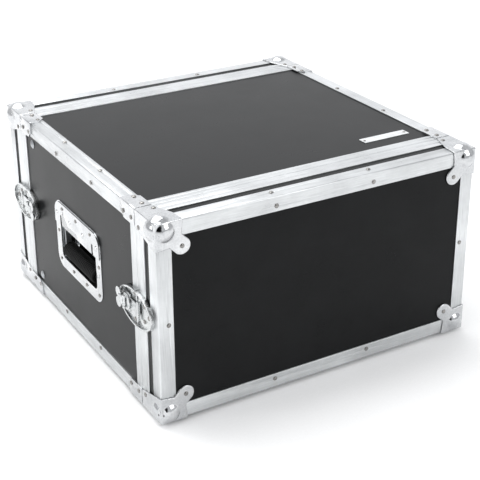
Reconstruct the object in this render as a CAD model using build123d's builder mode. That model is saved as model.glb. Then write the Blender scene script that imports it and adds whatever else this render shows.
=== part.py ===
from build123d import *
import os

# A six-unit, 19-inch rack flight case. +Z is up and the front lid faces -Y. The origin is on
# the floor under the middle of the case. Sizes are in millimetres.
# Left-hand and front pieces are drawn where they belong. Their twins are mirror images about
# the case's middle planes.

os.makedirs("parts", exist_ok=True)

# ---- overall sizes, over the edge profiles
case_width = 510.0
case_height = 292.0
case_depth = 522.0
lid_depth = 57.0  # from a lid's outer plane to its seam

# ---- boards and aluminium profiles
board = 9.0
skin = 1.5  # wall of the profiles, which lie on the boards
edge_flange = 22.0
edge_radius = 2.0
joint_line = 0.2  # hairline left at mitres and glued corners
rim_depth = 12.0  # closure profile, from its outer face to its inner one
rim_flange = 16.0
rim_web = 2.0
rim_lip = 12.0
lid_rim_flange = 22.5
lid_rim_nose = 8.0
seam_gap = 0.4
tongue_inset = 5.0
tongue_width = 3.0
tongue_length = 6.0
tongue_clearance = 0.4

# ---- ball corners and corner braces
plate = 1.5  # pressed steel of corners and braces
ball_radius = 20.0
ball_inset = 13.0  # ball's centre, in from the three outer planes
ball_proud = 6.5  # to the small flat that each ball stands on
corner_leg = 39.0
corner_tip = 36.5
lap_width = 24.0
lobe_place = 36.5
lobe_radius = 12.5
lobe_neck = 19.0
brace_length = 42.0
brace_taper = 10.0
panel_corner_cut = 5.0  # front board's corners, cut off inside the ball
vertex_cut = 4.5  # how far the case's own corner stays back inside the ball
edging_stop = 10.0

# ---- rivets
rivet_head = 3.3
rivet_height = 1.4
rivet_shank = 1.6
rivet_reach = 7.0
rivet_fit = 0.05
rivet_in = 15.0  # from the case's edge
brace_rivets = (10.0, 34.0)  # from the seam
edge_rivet_y = 63.0
lid_edge_rivet_x = 78.0
lid_edge_rivet_in = 14.0
corner_rivet_back = 45.5
corner_rivet_in = 21.0

# ---- rack rails, six units high
rack_unit = 44.45
units = 6
unit_holes = (6.35, 22.225, 38.1)
hole_spacing = 465.1
rail_gap = 450.0  # clear width between the rails
rail_sheet = 2.0
rail_side = 30.0
rail_setback = 26.0
rail_hole = 2.5  # M6 thread
bolt_rise = 112.0  # rear rails' through-bolts, above and below the middle
bolt_shank = 3.0
bolt_clearance = 0.1
bolt_head = 6.5
bolt_dome = 3.0
bolt_reach = 16.0
nut_size = 10.0
nut_height = 5.0
screw_rise = (-100.0, 0.0, 100.0)
screw_shank = 2.0
screw_head = screw_shank + rail_sheet
screw_reach = 7.0

# ---- recessed handles
handle_y = 0.0
handle_rise = 1.5  # handle's middle above the case's middle
sheet = 1.2
dish_length = 163.0
dish_height = 110.0
dish_radius = 20.0
recess_length = 128.0
recess_low = 37.6
recess_high = 40.0
recess_radius = 9.0
recess_depth = 20.0
cutout_clearance = 0.5
hinge_plate_low = 17.4
hinge_plate_margin = 1.5
hinge_plate_thickness = 2.0
boss_radius = 4.5
boss_height = 1.6
boss_places = (-72.0, -24.0, 24.0, 72.0)
boss_rise = 33.0
pin_rise = 28.0
pin_depth = 6.5  # below the board's face
pin_radius = 3.0
pin_fit = 0.05
arm_place = 57.0
arm_thickness = 3.0
arm_width = 9.0
arm_clearance = 1.0
bail_drop = 50.0
eye_radius = 6.0
grip_core = 4.0
grip_radius = 11.5
grip_length = 106.0
spring_wire = 0.6
spring_radius = 4.4
spring_turns = 6
spring_pitch = 1.5
spring_start = 42.0
handle_rivets = (
    (-51.0, 46.0),
    (0.0, 46.0),
    (51.0, 46.0),
    (-73.0, 3.0),
    (73.0, 3.0),
    (-70.0, -43.0),
    (-24.0, -46.5),
    (24.0, -46.5),
    (70.0, -43.0),
)
handle_rivet_head = 2.8

# ---- butterfly latches. A latch's own sizes run outwards from the profiles' outer plane and
# ---- back from the seam.
latch_rise = 3.0  # latch's middle above the case's middle
latch_length = 98.0
latch_height = 54.0
latch_offset = 2.5  # oval's middle, behind the seam
latch_rim = 2.6
latch_rim_height = 5.5
base_thickness = 2.0
keeper_thickness = 1.6
latch_seam = 0.5  # base plate and keeper, back from the seam
lip_back = 5.0
lip_width = 2.0
lip_top = 2.7
lip_half = 12.0
drum_back = 26.0
drum_shaft = 3.0
drum_fit = 0.05
drum_foot = 5.0
drum_pocket = 6.0
running_gap = 0.2
claw_low = 3.0
claw_high = 5.0
claw_strip_half = 8.0
claw_bar_half = 14.0
claw_bar_back = 10.0
claw_bar_width = 4.0
claw_bar_high = 6.5
claw_tail_half = 13.0
claw_tail_start = 17.5
claw_tail_end = 39.5
eccentric_radius = 6.5
eccentric_offset = 2.5
eccentric_play = 0.75
disc_radius = 12.0
disc_low = 5.3
disc_high = 7.5
ear_inner = 7.0
ear_outer = 9.5
ear_half = 2.8
wing_axis = 9.3
wing_thickness = 2.0
wing_pin = 1.5
wing_pin_fit = 0.05
wing_neck_half = 6.7
wing_lobe_back = 17.0  # lobes' centres, behind the drum's axis
wing_lobe_side = 7.5
wing_lobe_radius = 7.5
base_rivets = ((8.0, 20.0), (8.0, -20.0), (44.0, 4.8), (44.0, -4.8))
keeper_rivets = ((-19.5, 11.0), (-19.5, -11.0), (-33.0, 0.0))

# ---- name plate
name_length = 80.0
name_width = 16.0
name_thickness = 1.0
name_x = 174.0
name_y = -154.5
name_pin = 1.2
name_pin_in = 4.0
name_pin_reach = 6.0

# ---- places worked out from the sizes
half_width = case_width / 2
base = ball_proud  # height of the profiles' underside
top = base + case_height
middle = base + case_height / 2
front = -case_depth / 2
seam = front + lid_depth
board_face = half_width - skin
board_inside = board_face - board
body_start = seam + rim_web
body_length = -2 * body_start
edge_start = seam + rim_flange
lid_face = seam - seam_gap
lid_board_end = lid_face - lid_rim_nose
lid_board_start = front + skin + board
rail_face = seam + rail_setback
rail_height = units * rack_unit
rail_bolt_y = -(rail_face + rail_side / 2)
rail_inside = -board_inside + rail_sheet
handle_z = middle + handle_rise
pin_x = -(board_face - pin_depth)
pin_z = handle_z + pin_rise
latch_z = middle + latch_rise
drum_y = seam + drum_back
latch_mid_y = seam + latch_offset
name_z = top - skin
mid_plane = Plane.XY.offset(middle)

CENTRED = (Align.CENTER, Align.CENTER, Align.MAX)
STANDING = (Align.CENTER, Align.CENTER, Align.MIN)


def save(piece, label):
    """Labels a finished piece and writes it."""
    piece.part.label = label
    export_step(piece.part, f"parts/{label}.step")


def twin(piece, about):
    """A piece's mirror image."""
    with BuildPart() as copy:
        mirror(piece.part, about=about)
    return copy


def side_plane(out):
    """A plane `out` beyond the left-hand profiles. Its x is Y, its y is Z, and it faces in."""
    return Plane.YZ.offset(-(half_width + out))


def on_left(y, z, out=0.0):
    return Plane(origin=(-half_width - out, y, z), z_dir=(-1, 0, 0))


def on_bottom(x, y, out=0.0):
    return Plane(origin=(x, y, base - out), z_dir=(0, 0, -1))


def on_front(x, z, out=0.0):
    return Plane(origin=(x, front - out, z), z_dir=(0, -1, 0))


def mirrored_place(place, x=1, y=1, z=1):
    """A rivet's place on the other side of the case's middle planes."""
    spot, way = place.origin, place.z_dir
    height = spot.Z if z > 0 else 2 * middle - spot.Z
    return Plane(
        origin=(spot.X * x, spot.Y * y, height), z_dir=(way.X * x, way.Y * y, way.Z * z)
    )


def drill(places, radius=rivet_shank + rivet_fit, depth=rivet_reach + 0.3):
    """Blind holes that start at the places and run inwards."""
    with Locations(*places):
        Cylinder(radius, depth, align=CENTRED, mode=Mode.SUBTRACT)


def dome_rivet(head, height, shank, reach):
    """A domed rivet whose seat is at z = 0, as a builder of its own."""
    with BuildPart() as rivet:
        with BuildSketch(Plane.XZ):
            with BuildLine():
                Line((0, -reach), (shank, -reach))
                Line((shank, -reach), (shank, 0))
                Line((shank, 0), (head, 0))
                Line((head, 0), (head, height * 0.25))
                TangentArc((0, height), (head, height * 0.25), tangent=(1, 0))
                Line((0, height), (0, -reach))
            make_face()
        revolve(axis=Axis.Z)
    return rivet


rivet = dome_rivet(rivet_head, rivet_height, rivet_shank, rivet_reach)
handle_rivet = dome_rivet(handle_rivet_head, rivet_height, rivet_shank, rivet_reach)


# ---- rivets' places at the bottom left corner and front end of the body
body_rivet_places = [on_bottom(-half_width + rivet_in, seam + back, plate) for back in brace_rivets]
body_rivet_places += [on_left(seam + back, base + rivet_in, plate) for back in brace_rivets]
body_rivet_places += [
    on_bottom(-half_width + rivet_in, -edge_rivet_y),
    on_left(-edge_rivet_y, base + rivet_in),
]
body_rivets_all = [
    mirrored_place(place, x, y, z)
    for place in body_rivet_places
    for x in (1, -1)
    for y in (1, -1)
    for z in (1, -1)
]

# ---- rivets' places on the front lid
corner_rivet_places = [
    on_bottom(-half_width + corner_rivet_in, front + corner_rivet_back, plate),
    on_left(front + corner_rivet_back, base + corner_rivet_in, plate),
    on_front(-half_width + lobe_place, base + lobe_place, plate),
]
edging_rivet_places = [
    on_front(-lid_edge_rivet_x, base + lid_edge_rivet_in),
    on_bottom(-lid_edge_rivet_x, front + lid_edge_rivet_in),
]
lid_rivets_all = [
    mirrored_place(place, x, 1, z)
    for place in corner_rivet_places + edging_rivet_places
    for x in (1, -1)
    for z in (1, -1)
]
lid_rivets_all += [on_front(x * (half_width - rivet_in), middle) for x in (1, -1)]

base_rivet_places = [
    on_left(seam + back, latch_z + rise, base_thickness) for back, rise in base_rivets
]
keeper_rivet_places = [
    on_left(seam + back, latch_z + rise, keeper_thickness) for back, rise in keeper_rivets
]
base_rivets_all = [
    mirrored_place(place, x, y) for place in base_rivet_places for x in (1, -1) for y in (1, -1)
]
keeper_rivets_all = [mirrored_place(place, x) for place in keeper_rivet_places for x in (1, -1)]


# ==== case body: boards
# The side boards run the full height, and the top and bottom lie between them.
handle_rivet_places = [
    Plane(
        origin=(-board_face - sheet, handle_y + along, handle_z + rise),
        z_dir=(-1, 0, 0),
    )
    for along, rise in handle_rivets
]
rail_screw_places = [
    Plane(origin=(rail_inside, -rail_bolt_y, middle + rise), z_dir=(1, 0, 0))
    for rise in screw_rise
]
recess_rise = (recess_high - recess_low) / 2
recess_height = recess_high + recess_low

with BuildPart() as left_panel:
    with BuildSketch(side_plane(-skin)):
        with Locations((0, middle)):
            Rectangle(body_length, case_height - 2 * skin)
        with Locations((handle_y, handle_z + recess_rise)):
            RectangleRounded(
                recess_length + 2 * (sheet + cutout_clearance),
                recess_height + 2 * (sheet + cutout_clearance),
                recess_radius + sheet + cutout_clearance,
                mode=Mode.SUBTRACT,
            )
        with Locations((rail_bolt_y, middle - bolt_rise), (rail_bolt_y, middle + bolt_rise)):
            Circle(bolt_shank + bolt_clearance, mode=Mode.SUBTRACT)
    extrude(amount=board)
    drill([place for place in body_rivets_all + base_rivets_all if place.origin.X < 0])
    drill(handle_rivet_places)
    drill(rail_screw_places, screw_shank + rivet_fit)
save(left_panel, "left_panel")
save(twin(left_panel, Plane.YZ), "right_panel")

with BuildPart() as bottom_panel:
    with BuildSketch(Plane.XY.offset(base + skin)):
        Rectangle(2 * board_inside - 2 * joint_line, body_length)
    extrude(amount=board)
    drill([place for place in body_rivets_all if place.z_dir.Z < 0])
save(bottom_panel, "bottom_panel")

name_pin_places = [
    Plane(origin=(name_x + side * (name_length / 2 - name_pin_in), name_y, name_z + name_thickness))
    for side in (1, -1)
]
with BuildPart() as top_panel:
    mirror(bottom_panel.part, about=mid_plane)
    drill(name_pin_places, name_pin + rivet_fit, name_pin_reach + name_thickness)
save(top_panel, "top_panel")

# ==== case body: edge angles between the closure profiles
with BuildPart() as edge_bottom_left:
    with BuildSketch(Plane.XZ):
        with Locations((-half_width, base)):
            Rectangle(edge_flange, edge_flange, align=Align.MIN)
        fillet(vertices().sort_by(Axis.X)[:2].sort_by(Axis.Y)[0], edge_radius)
        with Locations((-half_width + skin, base + skin)):
            Rectangle(edge_flange, edge_flange, align=Align.MIN, mode=Mode.SUBTRACT)
    extrude(amount=-edge_start, both=True)
    drill([place for place in body_rivets_all if place.origin.X < 0 and place.origin.Z < middle])
edge_bottom_right = twin(edge_bottom_left, Plane.YZ)
save(edge_bottom_left, "edge_bottom_left")
save(edge_bottom_right, "edge_bottom_right")
save(twin(edge_bottom_left, mid_plane), "edge_top_left")
save(twin(edge_bottom_right, mid_plane), "edge_top_right")


def ring(outer_inset, inner_inset, start, end, mode=Mode.ADD):
    """A rectangular frame about the case's opening, between two depths along Y."""
    with BuildSketch(Plane.XZ.offset(-start)) as frame:
        with Locations((0, middle)):
            if outer_inset == 0:
                RectangleRounded(case_width, case_height, edge_radius)
            else:
                Rectangle(case_width - 2 * outer_inset, case_height - 2 * outer_inset)
            Rectangle(
                case_width - 2 * inner_inset, case_height - 2 * inner_inset, mode=Mode.SUBTRACT
            )
    extrude(frame.sketch, amount=start - end, mode=mode)


def mitres(start, end):
    """Parts a frame into four bars, with a hairline at each corner."""
    slit = 4 * rim_depth
    for x, z, turn in (
        (-half_width, base, 45),
        (half_width, top, 45),
        (half_width, base, -45),
        (-half_width, top, -45),
    ):
        with BuildSketch(Plane.XZ.offset(-start)) as cut:
            with Locations((x, z)):
                Rectangle(slit, joint_line, rotation=turn)
        extrude(cut.sketch, amount=start - end, mode=Mode.SUBTRACT)


# ==== case body: closure profile with its tongue
with BuildPart() as front_rim:
    ring(0, skin, seam, seam + rim_flange)
    ring(skin, rim_depth, seam, seam + rim_web)
    ring(skin + board, rim_depth, seam, seam + rim_lip)
    ring(tongue_inset, tongue_inset + tongue_width, seam - tongue_length, seam)
    mitres(seam - tongue_length - 1, seam + rim_flange + 1)
    drill([place for place in body_rivets_all + base_rivets_all if place.origin.Y < 0])
save(front_rim, "front_rim")
save(twin(front_rim, Plane.XZ), "rear_rim")


# ==== case body: corner braces
def brace_leg(plane, out):
    """One leg: full width beside the seam, tapered at its far end."""
    with BuildSketch(plane) as leg:
        with BuildLine():
            Polyline(
                (-plate, 0),
                (lap_width, 0),
                (lap_width, brace_length - brace_taper),
                (lap_width - brace_taper, brace_length),
                (-plate, brace_length),
                close=True,
            )
        make_face()
    extrude(leg.sketch, amount=out)


brace_corner = (-half_width, seam + joint_line, base)
with BuildPart() as brace:
    brace_leg(Plane(origin=brace_corner, x_dir=(1, 0, 0), z_dir=(0, 0, 1)), -plate)
    brace_leg(Plane(origin=brace_corner, x_dir=(0, 0, 1), z_dir=(-1, 0, 0)), plate)
    fold = edges().filter_by(Axis.Y).group_by(Axis.X)[0].sort_by(Axis.Z)[0]
    fillet(fold, edge_radius)
    drill(body_rivet_places)

with BuildPart() as corner_braces:
    add(brace.part)
    mirror(about=Plane.YZ)
    mirror(about=mid_plane)
    mirror(about=Plane.XZ)
save(corner_braces, "corner_braces")

# ==== rack rails
rail_hole_rises = [
    unit * rack_unit + rise - rail_height / 2 for unit in range(units) for rise in unit_holes
]
rail_low = middle - rail_height / 2
rail_edge = -rail_gap / 2


def rack_rail(side_holes, side_radius, countersink):
    """A steel angle: its face carries the equipment, and its side lies on the board."""
    with BuildPart() as rail:
        with BuildSketch(Plane.XY.offset(rail_low)):
            with Locations((-board_inside, rail_face)):
                Rectangle(board_inside + rail_edge, rail_sheet, align=Align.MIN)
                Rectangle(rail_sheet, rail_side, align=Align.MIN)
        extrude(amount=rail_height)
        with BuildSketch(Plane.XZ.offset(-rail_face)):
            with Locations(*[(-hole_spacing / 2, middle + rise) for rise in rail_hole_rises]):
                Circle(rail_hole)
        extrude(amount=-rail_sheet, mode=Mode.SUBTRACT)
        places = [
            Plane(origin=(rail_inside, rail_face + rail_side / 2, middle + rise), z_dir=(1, 0, 0))
            for rise in side_holes
        ]
        with Locations(*places):
            if countersink:
                CounterSinkHole(side_radius, screw_head + rivet_fit, 2 * rail_sheet, 90)
            else:
                Hole(side_radius, depth=2 * rail_sheet)
    return rail


rail_front_left = rack_rail(screw_rise, screw_shank + rivet_fit, True)
save(rail_front_left, "rail_front_left")
save(twin(rail_front_left, Plane.YZ), "rail_front_right")
rail_near_left = rack_rail((-bolt_rise, bolt_rise), bolt_shank + bolt_clearance, False)
rail_rear_left = twin(rail_near_left, Plane.XZ)
save(rail_rear_left, "rail_rear_left")
save(twin(rail_rear_left, Plane.YZ), "rail_rear_right")

# ---- dome-headed bolts from outside, nuts inside
with BuildPart() as rail_bolt:
    add(dome_rivet(bolt_head, bolt_dome, bolt_shank, bolt_reach).part)

with BuildPart() as rail_bolts:
    with Locations(
        *[
            Plane(origin=(-board_face, rail_bolt_y, middle + rise), z_dir=(-1, 0, 0))
            for rise in (-bolt_rise, bolt_rise)
        ]
    ):
        add(rail_bolt.part)
    with BuildSketch(Plane.YZ.offset(rail_inside)):
        with Locations((rail_bolt_y, middle - bolt_rise), (rail_bolt_y, middle + bolt_rise)):
            RegularPolygon(nut_size / 2, 6, major_radius=False)
    extrude(amount=nut_height)
    mirror(about=Plane.YZ)
save(rail_bolts, "rail_bolts")

# ---- countersunk screws of the front rails
with BuildPart() as rail_screw:
    with BuildSketch(Plane.XZ):
        with BuildLine():
            Polyline(
                (0, 0),
                (screw_head, 0),
                (screw_shank, -rail_sheet),
                (screw_shank, -screw_reach),
                (0, -screw_reach),
                close=True,
            )
        make_face()
    revolve(axis=Axis.Z)

with BuildPart() as rail_screws:
    with Locations(*rail_screw_places):
        add(rail_screw.part)
    mirror(about=Plane.YZ)
save(rail_screws, "rail_screws")

# ==== recessed handle: dish
with BuildPart() as dish_left:
    with BuildSketch(side_plane(-skin)):
        with Locations((handle_y, handle_z)):
            RectangleRounded(dish_length, dish_height, dish_radius)
    extrude(amount=-sheet)
    with BuildSketch(side_plane(-skin)):
        with Locations((handle_y, handle_z + recess_rise)):
            RectangleRounded(
                recess_length + 2 * sheet, recess_height + 2 * sheet, recess_radius + sheet
            )
    extrude(amount=recess_depth + sheet)
    with BuildSketch(side_plane(sheet - skin)):
        with Locations((handle_y, handle_z + recess_rise)):
            RectangleRounded(recess_length, recess_height, recess_radius)
    extrude(amount=recess_depth + sheet, mode=Mode.SUBTRACT)
    drill(handle_rivet_places)
save(dish_left, "handle_dish_left")
save(twin(dish_left, Plane.YZ), "handle_dish_right")

# ---- hinge plate over the dish's upper third, notched for the bail's arms
plate_low = handle_z + hinge_plate_low
plate_high = handle_z + dish_height / 2 - hinge_plate_margin
notch_top = pin_z + arm_width / 2 + arm_clearance
top_rivet_places = [
    Plane(origin=place.origin + Vector(-hinge_plate_thickness, 0, 0), z_dir=place.z_dir)
    for place in handle_rivet_places
    if place.origin.Z > plate_low
]
flange_rivet_places = [place for place in handle_rivet_places if place.origin.Z < plate_low]

with BuildPart() as hinge_plate_left:
    with BuildSketch(side_plane(sheet - skin)):
        with Locations((handle_y, handle_z)):
            RectangleRounded(
                dish_length - 2 * hinge_plate_margin,
                dish_height - 2 * hinge_plate_margin,
                dish_radius - hinge_plate_margin,
            )
        with Locations((handle_y, plate_low)):
            Rectangle(
                dish_length, dish_height, align=(Align.CENTER, Align.MAX), mode=Mode.SUBTRACT
            )
        with Locations((handle_y - arm_place, plate_low), (handle_y + arm_place, plate_low)):
            Rectangle(
                arm_thickness + 2 * arm_clearance,
                2 * (notch_top - plate_low),
                mode=Mode.SUBTRACT,
            )
    extrude(amount=-hinge_plate_thickness)
    drill(top_rivet_places)
    boss_planes = [
        Plane(
            origin=(-board_face - sheet - hinge_plate_thickness, handle_y + y, handle_z + boss_rise),
            z_dir=(-1, 0, 0),
        )
        for y in boss_places
    ]
    with Locations(*boss_planes):
        Cone(boss_radius, boss_radius * 0.6, boss_height, align=STANDING)
save(hinge_plate_left, "handle_hinge_plate_left")
save(twin(hinge_plate_left, Plane.YZ), "handle_hinge_plate_right")

with BuildPart() as handle_rivets_part:
    with Locations(*(top_rivet_places + flange_rivet_places)):
        add(handle_rivet.part)
    mirror(about=Plane.YZ)
save(handle_rivets_part, "handle_rivets")

# ---- hinge pin, held between the recess's end walls
pin_plane = Plane(origin=(pin_x, handle_y, pin_z), x_dir=(1, 0, 0), z_dir=(0, 1, 0))
with BuildPart() as hinge_pin_left:
    with BuildSketch(pin_plane):
        Circle(pin_radius)
    extrude(amount=recess_length / 2, both=True)
save(hinge_pin_left, "handle_pin_left")
save(twin(hinge_pin_left, Plane.YZ), "handle_pin_right")

# ---- torsion springs on the pin, beside the arms. One leg rests on the recess's back.
with BuildPart() as spring:
    with BuildLine() as coil:
        Helix(spring_pitch, spring_turns * spring_pitch, spring_radius)
    with BuildSketch(Plane(origin=coil.line @ 0, z_dir=coil.line % 0)):
        Circle(spring_wire)
    sweep(path=coil.line)
    with BuildSketch(Plane(origin=(spring_radius, 0, 0), z_dir=(0, -1, 0))):
        Circle(spring_wire)
    extrude(amount=recess_depth - pin_depth)

spring_plane = Plane(
    origin=(pin_x, handle_y + spring_start, pin_z), x_dir=(0, 0, -1), z_dir=(0, 1, 0)
)
with BuildPart() as handle_springs_left:
    with Locations(spring_plane):
        add(spring.part)
    mirror(about=Plane.XZ.offset(-handle_y))
save(handle_springs_left, "handle_springs_left")
save(twin(handle_springs_left, Plane.YZ), "handle_springs_right")

# ---- bail: two arms on the pin and a core rod inside the grip
with BuildPart() as bail_left:
    for side in (1, -1):
        arm_plane = Plane(
            origin=(pin_x, handle_y + side * arm_place, pin_z), x_dir=(1, 0, 0), z_dir=(0, 1, 0)
        )
        with BuildSketch(arm_plane):
            Circle(eye_radius)
            with Locations((0, bail_drop / 2)):
                Rectangle(arm_width, bail_drop)
            with Locations((0, bail_drop)):
                Circle(arm_width / 2 + 1)
            Circle(pin_radius + pin_fit, mode=Mode.SUBTRACT)
        extrude(amount=arm_thickness / 2, both=True)
    with BuildSketch(pin_plane):
        with Locations((0, bail_drop)):
            Circle(grip_core)
    extrude(amount=arm_place, both=True)
save(bail_left, "handle_bail_left")
save(twin(bail_left, Plane.YZ), "handle_bail_right")

with BuildPart() as grip_left:
    with BuildSketch(pin_plane):
        with Locations((0, bail_drop)):
            Circle(grip_radius)
            Circle(grip_core + pin_fit, mode=Mode.SUBTRACT)
    extrude(amount=grip_length / 2, both=True)
    fillet(edges().filter_by(GeomType.CIRCLE).sort_by(SortBy.RADIUS)[-2:], 3.0)
save(grip_left, "handle_grip_left")
save(twin(grip_left, Plane.YZ), "handle_grip_right")


# ==== latches, drawn for the front of the left side
def save_latch_piece(piece, name):
    """Writes a latch's moving piece for each of the four latches."""
    right = twin(piece, Plane.YZ)
    save(piece, f"latch_{name}_front_left")
    save(right, f"latch_{name}_front_right")
    save(twin(piece, Plane.XZ), f"latch_{name}_rear_left")
    save(twin(right, Plane.XZ), f"latch_{name}_rear_right")


def latch_oval(inset=0.0, mode=Mode.ADD):
    with Locations((latch_mid_y, latch_z)):
        Ellipse(latch_length / 2 - inset, latch_height / 2 - inset, mode=mode)


def keep_side(low_y, high_y):
    """Keeps the part of a latch sketch that lies between two depths."""
    with Locations(((low_y + high_y) / 2, latch_z)):
        Rectangle(high_y - low_y, 2 * latch_height, mode=Mode.INTERSECT)


base_edge = seam + latch_seam
base_end = seam + latch_length
with BuildPart() as latch_base:
    with BuildSketch(side_plane(0)):
        latch_oval()
        keep_side(base_edge, base_end)
    extrude(amount=-base_thickness)
    with BuildSketch(side_plane(0)):
        latch_oval()
        latch_oval(latch_rim, Mode.SUBTRACT)
        keep_side(base_edge, base_end)
    extrude(amount=-latch_rim_height)
    # a foot under the plate, behind the closure profile, reaches down to the board
    with BuildSketch(side_plane(0)):
        latch_oval(latch_rim)
        keep_side(edge_start + joint_line, base_end)
        with Locations((drum_y, latch_z)):
            Circle(drum_pocket, mode=Mode.SUBTRACT)
    extrude(amount=skin)
    with BuildSketch(side_plane(0)):
        with Locations((drum_y, latch_z)):
            Circle(drum_shaft + drum_fit)
    extrude(amount=-base_thickness, mode=Mode.SUBTRACT)
    drill(base_rivet_places)

with BuildPart() as latch_bases:
    add(latch_base.part)
    mirror(about=Plane.YZ)
    mirror(about=Plane.XZ)
save(latch_bases, "latch_bases")

# ---- drum: riveted shaft, eccentric, disc and two ears for the wing
with BuildPart() as latch_drum:
    for radius, low, high, back in (
        (drum_foot, 0.3 - skin, -running_gap, 0),
        (drum_shaft, 0.3 - skin, base_thickness + running_gap, 0),
        (eccentric_radius, base_thickness + running_gap, disc_low, eccentric_offset),
        (disc_radius, disc_low, disc_high, 0),
    ):
        with BuildSketch(side_plane(low)):
            with Locations((drum_y + back, latch_z)):
                Circle(radius)
        extrude(amount=low - high)
    ear_plane = Plane(
        origin=(-half_width - wing_axis, drum_y, latch_z), x_dir=(0, 1, 0), z_dir=(0, 0, 1)
    )
    for side in (1, -1):
        inner = ear_plane.offset(side * ear_inner)
        with BuildSketch(inner):
            Circle(ear_half)
            with Locations((0, -(wing_axis - disc_high) / 2)):
                Rectangle(2 * ear_half, wing_axis - disc_high)
            Circle(wing_pin + wing_pin_fit, mode=Mode.SUBTRACT)
        extrude(amount=side * (ear_outer - ear_inner))
save_latch_piece(latch_drum, "drum")

# ---- wing: two rounded lobes on a neck, with a pin through the drum's ears
with BuildPart() as latch_wing:
    with BuildSketch(side_plane(wing_axis - wing_thickness / 2)):
        with Locations(
            (drum_y + wing_lobe_back, latch_z - wing_lobe_side),
            (drum_y + wing_lobe_back, latch_z + wing_lobe_side),
        ):
            Circle(wing_lobe_radius)
        with Locations((drum_y + wing_lobe_back / 2, latch_z)):
            Rectangle(wing_lobe_back, 2 * wing_neck_half)
    extrude(amount=-wing_thickness)
    with BuildSketch(ear_plane):
        Circle(wing_pin)
    extrude(amount=ear_outer, both=True)
save_latch_piece(latch_wing, "wing")

# ---- claw: a tail about the eccentric, a strip across the seam and a cross bar at its end
claw_slot_y = eccentric_radius + eccentric_play
claw_slot_z = eccentric_radius + eccentric_offset + 0.3
with BuildPart() as latch_claw:
    with BuildSketch(side_plane(claw_low)):
        with Locations((seam + (claw_tail_start + claw_tail_end) / 2, latch_z)):
            Rectangle(claw_tail_end - claw_tail_start, 2 * claw_tail_half)
        with Locations((seam + (claw_tail_start - claw_bar_back) / 2, latch_z)):
            Rectangle(claw_tail_start + claw_bar_back, 2 * claw_strip_half)
        with Locations((drum_y + eccentric_offset, latch_z)):
            Rectangle(2 * claw_slot_y, 2 * claw_slot_z, mode=Mode.SUBTRACT)
    extrude(amount=claw_low - claw_high)
    with BuildSketch(side_plane(claw_low)):
        with Locations((seam - claw_bar_back, latch_z)):
            Rectangle(claw_bar_width, 2 * claw_bar_half, align=(Align.MIN, Align.CENTER))
    extrude(amount=claw_low - claw_bar_high)
save_latch_piece(latch_claw, "claw")

# ---- keeper on the lid: the oval's other end, with the lip that the claw draws on
keeper_edge = seam - seam_gap - latch_seam
keeper_end = seam - latch_length
with BuildPart() as keeper:
    with BuildSketch(side_plane(0)):
        latch_oval()
        keep_side(keeper_end, keeper_edge)
    extrude(amount=-keeper_thickness)
    with BuildSketch(side_plane(0)):
        latch_oval()
        latch_oval(latch_rim, Mode.SUBTRACT)
        keep_side(keeper_end, keeper_edge)
    extrude(amount=-latch_rim_height)
    with BuildSketch(side_plane(0)):
        with Locations((seam - lip_back, latch_z)):
            Rectangle(lip_width, 2 * lip_half, align=(Align.MIN, Align.CENTER))
    extrude(amount=-lip_top)
    drill(keeper_rivet_places)

# ==== name plate on the top board, blank, with a pin at each end
with BuildPart() as label_plate:
    with BuildSketch(Plane.XY.offset(name_z)):
        with Locations((name_x, name_y)):
            RectangleRounded(name_length, name_width, 1.0)
    extrude(amount=name_thickness)
    drill(name_pin_places, name_pin + rivet_fit, name_thickness)
save(label_plate, "label_plate")

name_rivet = dome_rivet(2 * name_pin, name_pin * 0.7, name_pin, name_pin_reach)
with BuildPart() as body_rivets:
    with Locations(*body_rivets_all):
        add(rivet.part)
    with Locations(*base_rivets_all):
        add(rivet.part)
    with Locations(*name_pin_places):
        add(name_rivet.part)
save(body_rivets, "body_rivets")


# ==== lids
def save_lid_piece(piece, name):
    """Writes a front lid's piece and the rear lid's, which is its mirror image."""
    save(piece, f"front_lid_{name}")
    save(twin(piece, Plane.XZ), f"rear_lid_{name}")


with BuildPart() as lid_face_board:
    with BuildSketch(Plane.XZ.offset(-(front + skin))):
        with Locations((0, middle)):
            Rectangle(2 * board_face, case_height - 2 * skin)
        chamfer(vertices(), panel_corner_cut)
    extrude(amount=-board)
    drill([place for place in lid_rivets_all if place.z_dir.Y < 0])
save_lid_piece(lid_face_board, "panel")

lid_board_length = lid_board_end - lid_board_start
lid_board_z = case_height / 2 - skin - board
with BuildPart() as lid_boards:
    for side in (1, -1):
        with BuildSketch(Plane.XZ.offset(-lid_board_start)):
            with Locations((0, middle + side * (lid_board_z + board / 2))):
                Rectangle(2 * board_face, board)
            with Locations((side * (board_inside + board / 2), middle)):
                Rectangle(board, 2 * lid_board_z - 2 * joint_line)
        extrude(amount=-lid_board_length)
    drill([place for place in lid_rivets_all + keeper_rivets_all if place.z_dir.Y == 0])
save_lid_piece(lid_boards, "side_boards")

with BuildPart() as lid_rim:
    ring(0, skin, lid_face - lid_rim_flange + seam_gap, lid_face)
    ring(skin, rim_depth, lid_board_end, lid_face)
    ring(skin + board, rim_depth, lid_board_end - rim_lip, lid_face)
    ring(
        tongue_inset - tongue_clearance,
        tongue_inset + tongue_width + tongue_clearance,
        lid_face - tongue_length - tongue_clearance,
        lid_face,
        Mode.SUBTRACT,
    )
    mitres(lid_board_end - lid_rim_flange, lid_face + 1)
    drill([place for place in lid_rivets_all + keeper_rivets_all if place.z_dir.Y == 0])
save_lid_piece(lid_rim, "rim")


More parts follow.
